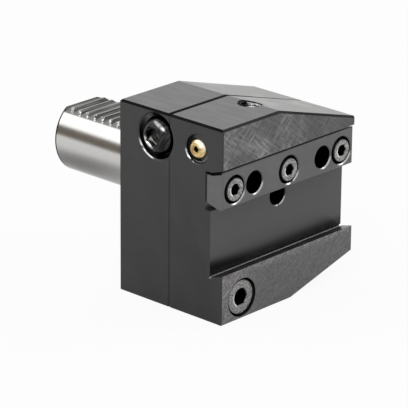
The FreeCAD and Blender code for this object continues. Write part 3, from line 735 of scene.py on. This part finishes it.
def lip_scuffs(finish):
    """Scratches and rubbed spots on the lower lip, most of them near the seat."""
    lip = finish.step(finish.z, SEAT_FRONT_Z + 1, SEAT_FRONT_Z)
    spots = finish.step(finish.noise(finish.place, 0.8, 4, 0.8), 0.47, 0.62)
    strokes = finish.lines(38, 5, 0.22, 0.55, 0.66)
    strokes = strokes.most(finish.lines(-52, 4, 0.25, 0.58, 0.7))
    near_seat = finish.step(finish.z, SEAT_FRONT_Z - 3.2, SEAT_FRONT_Z - 0.4)
    near_left = finish.step(finish.x, -14, -30)
    return (spots * 0.8).most(strokes) * (near_seat.most(near_left) * 0.65 + 0.35), lip


def block_finish():
    """Black oxide on the front block: a paler front with file marks, streaked slopes, painted shade
    on the dark edges and in holes, and painted glints on the rims of holes.
    """
    finish = Finish("block_black")
    colour, grain, patches = oxide_base(finish, 0.019)
    front = finish.step(finish.ny, -0.9, -0.98)
    hatch, upper = crosshatch(finish)
    scuffs, lip = lip_scuffs(finish)
    upper, lip = upper * front, lip * front
    hatch, scuffs = hatch * upper, scuffs * lip
    for share, tint in ((front * 0.8, grey(0.075, 1.0, 0.96, 0.99)),
                        (lip * 0.8, grey(0.095, 1.01, 0.97, 0.99)),
                        (upper * 0.5, grey(0.035, 1.0, 0.98, 1.02)),
                        (hatch * 0.8, grey(0.38, 1.0, 0.98, 1.01)),
                        (scuffs * 0.8, grey(0.36, 1.02, 0.98, 0.98))):
        colour = finish.mix(share, colour, tint)
    colour, streaked = slope_streaks(finish, colour)
    in_left = in_left_face(finish)
    on_slot = finish.band(finish.y, SLOT_Y - 0.05, SLOT_Y + 0.3, 0.05)
    in_front = finish.step(finish.y, FRONT + 0.1, FRONT + 0.35) * finish.step(finish.y, -40, -41)
    in_slot = finish.step(finish.y, SLOT_Y + 0.25, SLOT_Y + 0.4)
    # Painted glints: steel rubbed through on the rims of holes, only on the side that faces a lamp.
    rims = finish.rim(NOZZLE_HOLE, 0.2, 0.2) + finish.rim(SIDE_HOLE, 0.18, 0.22)
    glint_rims = rims * left_face(finish) + finish.rim(DOWEL_HOLE, 0.22, 0.4) * on_slot
    glint_rims = glint_stretches(finish, glint_rims, 0.36, 0.5)
    colour = finish.mix(glint_rims, colour, GLINT_STEEL)
    # Painted shade: a ragged black patch round the port's mouth.
    port_edge = finish.step(abs(finish.gap(PORT_HOLE) - PORT_RADIUS - 0.25), 0.42, 0.3)
    ragged = finish.step(finish.noise(finish.place, 1.1, 2), 0.44, 0.52)
    ragged = ragged * finish.step(finish.z, 24, 26)
    colour, plug_bore = counterbore(finish, colour, in_left)
    # Painted shade: black in holes, on the top chamfers, round the port's mouth and under the
    # recess's roof.
    shade_masks = [finish.well(NOZZLE_HOLE, in_left), finish.well(LOWER_HOLE, in_front),
             finish.well(DOWEL_HOLE, in_slot), shaded_top_chamfers(finish), port_edge * ragged,
             recess_roof(finish)]
    shade_masks += [finish.well(opening, finish.step(finish.y, -42.3, -42.0)) for opening in BOLT_HOLES]
    # Painted shade along the foot of the slot wall, taller towards the left.
    foot = ((-12 - finish.x) * 0.10).most(0.0) + SEAT_FRONT_Z
    shade_masks.append(finish.step(finish.z - foot, 4.0, -0.6) * on_slot * front * 0.85)
    colour, metal = dark_metal(finish, colour, glint_rims.most(plug_bore), shade_masks)
    rough = black_roughness(patches, streaked)
    finish.set(Base_Color=colour, Roughness=rough - hatch * 0.04, Metallic=metal)
    finish.set(Normal=finish.bump(grain * 0.5 + hatch * 0.8 + scuffs * 0.5, 0.006, 0.7))
    return finish


def milled_teeth(finish, steel, radius):
    """The shank's flat: dark milled flanks, paler crests, a painted highlight on the ragged ends of
    the grooves, and a darker band where they run out on the round, partly painted shade.
    """
    along = finish.step(finish.y, 8.8, 9.0)
    inner, outer = SHANK_RADIUS - 0.14, SHANK_RADIUS - 0.08
    teeth = finish.step(finish.z, 8.0, 8.4) * along * finish.step(radius, outer, inner)
    milling = finish.noise(finish.stretched(finish.place, 0.05, 1.7, 1.7), 1.0, 3, 0.7)
    crest = finish.step(finish.z, 11.86, 11.96)
    # Painted highlight on the grooves' near ends, broken up by flecks.
    tooth_end_highlight = finish.step(radius, 13.9, 14.4) * finish.step(finish.x, 0, -1)
    # Painted darker where the grooves run out on the round: partly their real ends, partly painted
    # shade.
    ridge_end = finish.step(finish.z, 10.1, 10.7) * finish.step(radius, inner, outer) * along
    flecks = finish.step(finish.noise(finish.place, 1.3, 3, 0.7), 0.46, 0.60)
    wear_and_highlight = finish.mix(finish.step(milling, 0.35, 0.65), grey(0.03, 1.0, 1.0, 0.97),
                      grey(0.13, 1.0, 1.0, 0.97))
    wear_and_highlight = finish.mix(crest * 0.5, wear_and_highlight, grey(0.4))
    wear_and_highlight = finish.mix(tooth_end_highlight * flecks, wear_and_highlight, grey(0.8))
    steel = finish.mix(teeth, steel, wear_and_highlight)
    steel = finish.mix(ridge_end * 0.9, steel, grey(0.09, 1.0, 1.0, 0.97))
    return steel, teeth, milling


def flange_finish():
    """Black block with a ground shank, a ground contact face and milled teeth, with painted glints
    and painted shade at its holes and edges.
    """
    finish = Finish("flange_black_and_ground")
    colour, grain, patches = oxide_base(finish, 0.019)
    colour, streaked = slope_streaks(finish, colour)
    # Painted glint on the side bore's rim, where it faces a lamp.
    glint_rims = glint_stretches(finish, finish.rim(SIDE_HOLE, 0.18, 0.22) * left_face(finish), 0.36, 0.5)
    colour = finish.mix(glint_rims, colour, GLINT_STEEL)
    colour, plug_bore = counterbore(finish, colour, in_left_face(finish))
    colour, metal = dark_metal(finish, colour, glint_rims.most(plug_bore), [shaded_top_chamfers(finish)])
    ground = finish.step(finish.y, -0.06, -0.02)
    rings = finish.noise(finish.stretched(finish.place, 0.15, 9.0, 0.15), 1.0, 3, 0.7)
    radius = (finish.x ** 2 + finish.z ** 2) ** 0.5
    steel = finish.mix(rings, grey(0.56, 1.02, 1.0, 0.97), grey(0.70, 1.01, 1.0, 0.98))
    steel, teeth, milling = milled_teeth(finish, steel, radius)
    # Painted shade on the chamfer round the shank's end.
    end = finish.step(finish.y, SHANK_END - 1.5, SHANK_END - 1.3)
    end = end * finish.step(radius, SHANK_RADIUS - 1.0, SHANK_RADIUS - 0.8)
    steel = finish.mix(end, steel, grey(0.03))
    ground_rough = 0.16 + rings * 0.10 + teeth * 0.34
    rough = black_roughness(patches, streaked) * (1 - ground) + ground_rough * ground
    relief = grain * (1 - ground) * 0.5 + rings * ground * 0.25 + milling * teeth * 1.5
    finish.set(Base_Color=finish.mix(ground, colour, steel), Roughness=rough,
               Metallic=ground.most(metal), Normal=finish.bump(relief, 0.006, 0.6))
    return finish


def bar_finish():
    """Clamp bar: black oxide over a ground face, with painted glints on the rims of its holes and
    painted shade in its holes and the gap above it.
    """
    finish = Finish("bar_black")
    colour, grain, patches = oxide_base(finish, 0.092, 0.02)
    colour = finish.mix(finish.step(finish.x, -16, -26) * 0.5, colour, grey(0.13, 1.02, 0.98, 1.0))
    marks = finish.noise(finish.stretched(finish.place, 0.05, 3.0, 3.0), 1.0, 3, 0.6)
    colour = finish.mix(marks * 0.3, colour, grey(0.13, 1.02, 0.98, 0.99))
    inside = finish.step(finish.y, FRONT + 0.75, FRONT + 0.95)
    # Painted shade: the top of the bar's left end and its upward faces, in the gap under the
    # recess's roof, are painted black.
    bevel_rise = (-44.9 - finish.y).most(0.0) * 0.325
    end_gap_shade = finish.step(finish.z - bevel_rise, 16.0, 16.2) * finish.step(finish.nx, -0.8, -0.9)
    rims, shade_masks = 0.0, [end_gap_shade, finish.step(finish.nz, 0.85, 0.9)]
    for opening in BAR_HOLES:
        rims = finish.rim(opening, 0.22, 0.4) + rims
        shade_masks.append(finish.well(opening, inside))
    # Painted glints on the rims of the holes.
    rims = glint_stretches(finish, rims, 0.30, 0.40)
    colour = finish.mix(rims, colour, grey(0.45))
    colour, metal = dark_metal(finish, colour, rims, shade_masks)
    finish.set(Base_Color=colour, Metallic=metal, Roughness=0.30 + patches * 0.08)
    finish.set(Normal=finish.bump(grain * 0.5 + marks * 0.3, 0.005, 0.6))
    return finish


def head_finish(name, centre, bearing_y, screw, flat_radius, socket_radius):
    """Phosphated cap screw: a pale mottled face over a nearly black side, with painted shade inside
    the socket and a painted glint at its mouth.
    """
    finish = Finish(name)
    top_y = bearing_y - screw["head_height"]
    speckle = finish.noise(finish.place, 1.9, 4, 0.75)
    pits = finish.step(finish.noise(finish.place, 1.4, 2), 0.60, 0.66)
    opening = hole("xz", centre, socket_radius, (-1, -0.35))
    gap = finish.gap(opening)
    face = finish.step(finish.ny, -0.5, -0.85)
    face = face * finish.step(finish.y, bearing_y - 1, bearing_y - 1.5)
    rings = finish.turning(gap, 6.0)
    pale = finish.mix(finish.step(speckle, 0.36, 0.62), grey(0.09, 1.0, 0.99, 0.98),
                      grey(0.50, 1.0, 0.99, 0.97))
    pale = finish.mix(rings * 0.3, pale, grey(0.30))
    pale = finish.mix(pits * 0.85, pale, grey(0.02))
    shown = face * finish.step(gap, flat_radius + 0.02, flat_radius - 0.3)
    # Painted glint at the socket's mouth and painted shade inside the socket.
    glint = finish.rim(opening, 0.3, 0.35) * finish.step(finish.y, top_y + 0.7, top_y + 0.5)
    inside = finish.step(gap, socket_radius + 0.3, socket_radius + 0.2)
    inside = inside * finish.step(finish.y, top_y + 0.2, top_y + 0.35)
    colour = finish.mix(shown, grey(0.006), pale)
    colour = finish.mix(inside, colour, UNLIT)
    colour = finish.mix(glint, colour, grey(0.95))
    finish.set(Base_Color=colour, Metallic=(shown * 0.75).most(inside).most(glint),
               Roughness=0.42 + speckle * 0.12)
    finish.set(Normal=finish.bump(speckle + rings * 0.5, 0.012, 0.7))
    return finish


def blackened(name, level, rough):
    """Plain blackened steel for screws, washers and rings."""
    finish = Finish(name)
    grain = finish.noise(finish.place, 3.0, 3, 0.6)
    patches = finish.noise(finish.place, 0.4, 2)
    finish.set(Base_Color=finish.mix(grain, grey(level * 0.7), grey(level * 1.6, 1.02, 1.0, 0.98)),
               Metallic=0.0, Roughness=rough + patches * 0.1)
    finish.set(Normal=finish.bump(grain, 0.004, 0.6))
    return finish


def gloss_black():
    """Oiled black oxide of the domed plug screw, with painted highlights on the dome and the
    socket's floor, a painted glint round the socket's mouth and painted shade inside the socket.
    """
    finish = Finish("plug_gloss_black")
    grain = finish.noise(finish.place, 1.6, 3, 0.6)
    socket = hole("yz", (SIDE_Y, COOLANT_Z), 3.5, (0.67, -0.74))
    gap = finish.gap(socket)
    rings = finish.turning(gap, 3.2)
    flecks = finish.step(finish.noise(finish.place, 2.4, 3, 0.7), 0.42, 0.62)
    around_up = (SIDE_Y - finish.y) * 0.45 + (finish.z - COOLANT_Z) * 0.89
    across_up = (SIDE_Y - finish.y) * 0.89 - (finish.z - COOLANT_Z) * 0.45
    floor = finish.gap(hole("yz", (SIDE_Y - 0.7, COOLANT_Z + 0.4)))
    # Painted highlights on the upper dome, on the socket's floor and round its mouth.
    upper = finish.band(gap, 4.9, 5.5, 0.5) * finish.step(around_up, 4.5, 5.1) * 0.8
    wear_and_highlight = (upper + finish.step(floor, 1.9, 0.8)) * (flecks * 0.6 + 0.4)
    wear_and_highlight = wear_and_highlight + finish.rim(socket, 0.6, 0.4)
    # Painted shade inside the socket.
    inside = finish.step(gap, 3.1, 2.9) * finish.step(finish.nx, -0.6, -0.5)
    sweep = finish.node("ShaderNodeCombineXYZ", {}, {"X": across_up, "Y": gap * 0.3})
    oily = finish.step(finish.noise(sweep, 0.9, 3, 0.6), 0.35, 0.65)
    colour = finish.mix(oily, grey(0.012), grey(0.060, 1.02, 1.0, 0.98))
    colour = finish.mix(grain * 0.4, colour, grey(0.03))
    colour = finish.mix(inside, colour, UNLIT)
    colour = finish.mix(wear_and_highlight, colour, grey(0.6, 1.0, 1.0, 0.98))
    finish.set(Base_Color=colour, Metallic=1.0, Roughness=0.14 + rings * 0.12)
    finish.set(Normal=finish.bump(rings * 0.8 + grain * 0.3, 0.02, 0.7))
    return finish


def brass():
    """Turned brass with fine tool rings, a little tarnish, painted shade on one side, along a dark
    line and round the jet hole, and a painted highlight on the upper part.
    """
    finish = Finish("turned_brass")
    clean, dull = (0.86, 0.66, 0.33, 1), (0.52, 0.33, 0.11, 1)
    brown, highlight_yellow = (0.26, 0.16, 0.05, 1), (0.98, 0.90, 0.72, 1)
    across, up = finish.y - NOZZLE_Y, finish.z - COOLANT_Z
    gap = (across ** 2 + up ** 2) ** 0.5
    rings = finish.turning(gap, 9.0)
    tarnish = finish.step(finish.noise(finish.place, 0.7, 3, 0.6), 0.4, 0.7)
    colour = finish.mix(tarnish * 0.7, clean, dull)
    # Painted shade on one side, along a line beside the jet hole and round the hole.
    crease_shade = finish.step(abs(up * 0.97 + across * 0.245), 0.55, 0.15)
    crease_shade = crease_shade * finish.step(across, -0.6, -1.2)
    shade = finish.step(across - up * 0.5, 0.6, 2.6) * 0.75
    colour = finish.mix(shade.most(crease_shade * 0.8), colour, brown)
    colour = finish.mix(finish.step(gap, 2.0, 1.2) * 0.8, colour, brown)
    # Painted highlight on the upper part.
    pale = finish.step(up * 0.8 - across * 0.6, 1.6, 2.8)
    colour = finish.mix(pale * 0.8, colour, highlight_yellow)
    finish.set(Base_Color=colour, Metallic=1.0, Roughness=0.16 + rings * 0.1 + tarnish * 0.08)
    finish.set(Normal=finish.bump(rings, 0.008, 0.5))
    return finish


def ring_finish():
    """Black screwed ring round the jet, with painted shade on one side and a painted glint along
    the lower part of its edge.
    """
    finish = Finish("lock_ring_black")
    grain = finish.noise(finish.place, 2.5, 3, 0.6)
    edge = hole("yz", (NOZZLE_Y, COOLANT_Z), 4.75, (-0.35, -0.94))
    glint = finish.rim(edge, 0.22, 0.45) * finish.step(grain, 0.3, 0.7)
    shaded = finish.step((finish.y - NOZZLE_Y) * 0.9 - (finish.z - COOLANT_Z) * 0.45, -1.5, 1.0)
    dark = finish.mix(shaded, grey(0.022), grey(0.006))
    finish.set(Base_Color=finish.mix(glint, dark, grey(0.3)),
               Metallic=shaded.most(glint), Roughness=0.28 + grain * 0.1)
    finish.set(Normal=finish.bump(grain, 0.006, 0.6))
    return finish


def port_finish():
    """Threaded wall of the top port: oily black, with painted glints on the crests of its lit side.
    """
    finish = Finish("port_thread_black")
    grain = finish.noise(finish.place, 2.0, 3, 0.6)
    lit = finish.step(finish.x, PORT_X + 1.0, PORT_X + 2.6)
    crests = lit * finish.step(grain, 0.32, 0.55) * 0.9
    finish.set(Base_Color=finish.mix(crests, grey(0.006), GLINT_STEEL),
               Metallic=1.0, Roughness=0.3 + grain * 0.1)
    finish.set(Normal=finish.bump(grain, 0.004, 0.6))
    return finish


def pin_steel():
    """Ground dowel steel with grinding lines round the pin."""
    finish = Finish("pin_steel")
    rings = finish.noise(finish.stretched(finish.place, 0.2, 6.0, 0.2), 1.0, 3, 0.7)
    finish.set(Base_Color=finish.mix(rings, grey(0.5), grey(0.66)), Metallic=1.0,
               Roughness=0.18 + rings * 0.1)
    finish.set(Normal=finish.bump(rings, 0.003, 0.5))
    return finish


def moulded(name, level, rough):
    """Moulded rubber or plastic with a faint skin."""
    finish = Finish(name)
    skin = finish.noise(finish.place, 2.2, 3, 0.6)
    finish.set(Base_Color=finish.mix(skin, grey(level * 0.8), grey(level * 1.2)),
               Metallic=0.0, Roughness=rough + skin * 0.1)
    finish.set(Normal=finish.bump(skin, 0.006, 0.6))
    return finish


# Pieces ------------------------------------------------------------------

def cap_screw(name, head_radius, head_height, edge, socket, socket_depth, thread):
    """Knurled hexagon socket screw along +Z with its bearing face at zero."""
    thread_radius, pitch, length = thread
    bottom = [(head_radius - 0.2, 0), (head_radius, 0.2), (head_radius, 0.45)]
    shoulder = head_height - edge
    side = [(head_radius, shoulder - 0.25), (head_radius, shoulder)]
    crown = arc(side[-1], (head_radius - edge, head_height), edge, 4)
    head = turned(name, bottom + side + crown)
    knurl(head, head_radius, 0.3, shoulder - 0.1, 0.12)
    cut_socket(head, head_height, socket, socket_depth, 0.1 + socket * 0.09)
    rod = threaded(name + "_rod", thread_radius, pitch, -length, 0.3)
    return joined(head, rod)


def plain_ring(name, outer, inner, thickness, edge=0.12):
    """Flat washer along +Z from zero, with rolled edges."""
    return turned(name, [
        (inner + edge, 0), (outer - edge, 0), (outer, edge), (outer, thickness - edge),
        (outer - edge, thickness), (inner + edge, thickness), (inner, thickness - edge),
        (inner, edge)], hollow=True)


def make_clamps():
    clear = 0.02
    washer_finish = blackened("washer_black", 0.02, 0.35)
    for side, x in (("left", -CLAMP_X), ("middle", 0.0), ("right", CLAMP_X)):
        screw = cap_screw(f"clamp_cap_screw_{side}", **CLAMP_SCREW)
        stood(screw, (x, CLAMP_BEARING_Y, CLAMP_Z), "front")
        finish = head_finish(f"clamp_head_{side}", (x, CLAMP_Z), CLAMP_BEARING_Y, CLAMP_SCREW,
                             flat_radius=4.15, socket_radius=2.3)
        dress(screw, f"clamp_screw_{side}", finish)
        washer = plain_ring(f"clamp_ring_{side}", 4.6, 2.55, WASHER_THICKNESS - clear)
        stood(washer, (x, CLAMP_BEARING_Y + WASHER_THICKNESS, CLAMP_Z), "front")
        dress(washer, f"clamp_washer_{side}", washer_finish)


def make_block_screws():
    for side, x in (("left", -ACCESS_X), ("right", ACCESS_X)):
        screw = cap_screw(f"hidden_cap_screw_{side}", **HIDDEN_SCREW)
        stood(screw, (x, UPPER_BEARING_Y, CLAMP_Z), "front")
        dress(screw, f"block_screw_upper_{side}", blackened(f"hidden_head_{side}", 0.02, 0.4))
    screw = cap_screw("lower_cap_screw", **LOWER_SCREW)
    stood(screw, (LOWER_X, LOWER_BEARING_Y, LOWER_Z), "front")
    finish = head_finish("lower_head", (LOWER_X, LOWER_Z), LOWER_BEARING_Y, LOWER_SCREW,
                         flat_radius=6.35, socket_radius=3.45)
    dress(screw, "block_screw_lower", finish)


def make_side_plug():
    rim, top, crown = (7.0, 0.8), (3.9, 4.4), (3.75, 4.46)
    dome = [(6.8, 0), (7.0, 0.2), rim] + arc(rim, top, 7.6, 10) + [crown]
    head = turned("domed_plug_screw", dome)
    cut_socket(head, 4.46, 6.0, 2.6, 0.8)
    rod = threaded("plug_rod", 4.0, 1.25, -12.0, 0.3)
    screw = joined(head, rod)
    stood(screw, (SIDE_WASHER_X - 1.0, SIDE_Y, COOLANT_Z), "left")
    dress(screw, "side_plug_screw", gloss_black())
    washer = plain_ring("plug_ring", 7.2, 4.05, 1.0, 0.15)
    stood(washer, (SIDE_WASHER_X, SIDE_Y, COOLANT_Z), "left")
    dress(washer, "side_plug_washer", blackened("plug_ring_black", 0.016, 0.3))


def sphere(radius, low, high, count):
    """Stations on a sphere about the origin, from one height to another."""
    made = []
    for index in range(count + 1):
        height = low + (high - low) * index / count
        made.append((math.sqrt(radius ** 2 - height ** 2), height))
    return made


def make_nozzle():
    place = (NOZZLE_X, NOZZLE_Y, COOLANT_Z)
    face = [(2.3, 3.4), (1.3, 3.36), (1.0, 3.1), (0.95, 2.9), (0.95, 0)]
    ball = turned("jet_ball", sphere(4.2, -3.0, 3.36, 16) + face + [(2.0, -2.95)], hollow=True)
    stood(ball, place, "left")
    dress(ball, "nozzle_ball", brass())
    cup = 4.3
    lock = [(5.2, -0.3), (5.2, 1.8), (5.0, 2.0)] + sphere(cup, 2.0, -0.3, 8)
    ring = turned("nozzle_lock_ring", lock, hollow=True)
    stood(ring, place, "left")
    dress(ring, "nozzle_retainer", ring_finish())
    bed = [(2.5, -4.5), (2.6, -4.6), (5.1, -4.6), (5.2, -4.5), (5.2, -0.4)]
    bed += sphere(cup, -0.4, -math.sqrt(cup ** 2 - bed[0][0] ** 2), 10)
    seat = turned("nozzle_bed", bed, hollow=True)
    stood(seat, place, "left")
    dress(seat, "nozzle_seat", moulded("bed_plastic", 0.6, 0.45))


def port_lining_top(angle):
    """Height of the top face over a point of the port's wall, less a small lead-in."""
    lead_in = 0.45
    x = PORT_X + PORT_RADIUS * math.cos(angle)
    return TOP - max(0.0, x - RIDGE_X) * TOP_SLOPE - lead_in


def make_port():
    lining = threaded("port_thread", PORT_RADIUS, 1.0, PORT_PLUG_TOP + 0.05, TOP,
                      inward=False, top=port_lining_top)
    stood(lining, (PORT_X, PORT_Y, 0), "up")
    take(lining)
    bpy.ops.object.shade_smooth_by_angle(angle=math.radians(PIECE_SMOOTH))
    lining.data.materials.append(port_finish().material)
    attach(lining, "holder")
    plug = turned("port_grub_screw", [(3.4, -4.0), (3.9, -3.5), (3.9, -0.4), (3.5, 0)])
    cut_socket(plug, 0.0, 5.0, 2.6, 0.5)
    rod = threaded("grub_rod", 4.35, 1.0, -4.0, -0.3)
    stood(joined(plug, rod), (PORT_X, PORT_Y, PORT_PLUG_TOP), "up")
    dress(plug, "top_port_plug", blackened("grub_black", 0.012, 0.3))


def make_ring(name, node, place, radius, section):
    """Round rubber ring about the shank's direction, pressed a little flat."""
    flattened = 0.97
    deselect()
    bpy.ops.mesh.primitive_torus_add(major_radius=radius * MM, minor_radius=section * MM,
                                     major_segments=96, minor_segments=16)
    ring = bpy.context.object
    ring.name = name
    edit()
    bpy.ops.mesh.select_all(action="SELECT")
    bpy.ops.transform.resize(value=(1, 1, flattened), center_override=(0, 0, 0))
    leave()
    stood(ring, place, "front")
    dress(ring, node, moulded(name + "_rubber", 0.02, 0.5))


add_camera()
add_floor(cad_box[0].z - FLOOR_GAP * MM)
add_surround()
add_dark_board(cad_box[0].z)
for lamp, setting in LAMPS.items():
    add_lamp(lamp, *setting)

flange = tidied_copy("flange_shank", "flange_and_shank", FLANGE_JOINT)
dress(flange, "flange_shank", flange_finish(), BLOCK_SMOOTH)
block = tidied_copy("blade_block", "front_block", BLADE_JOINT)
dress(block, "blade_block", block_finish(), BLOCK_SMOOTH)
dress(tidied_copy("clamp_wedge", "clamp_bar"), "clamp_wedge", bar_finish(), BLOCK_SMOOTH)
make_clamps()
make_block_screws()
make_side_plug()
make_nozzle()
make_port()
make_ring("shank_ring", "shank_seal_ring", (0, -1.1, 0), 16.6, 1.4)
make_ring("seam_ring", "seam_seal_ring", (COOLANT_X, -25.4, COOLANT_Z), 4.6, 0.9)
pins = pin_steel()
for node in ("centre_dowel", "offset_dowel"):
    frame["nodes"][node].data.materials.clear()
    frame["nodes"][node].data.materials.append(pins.material)

bpy.context.scene.view_settings.view_transform = "Standard"
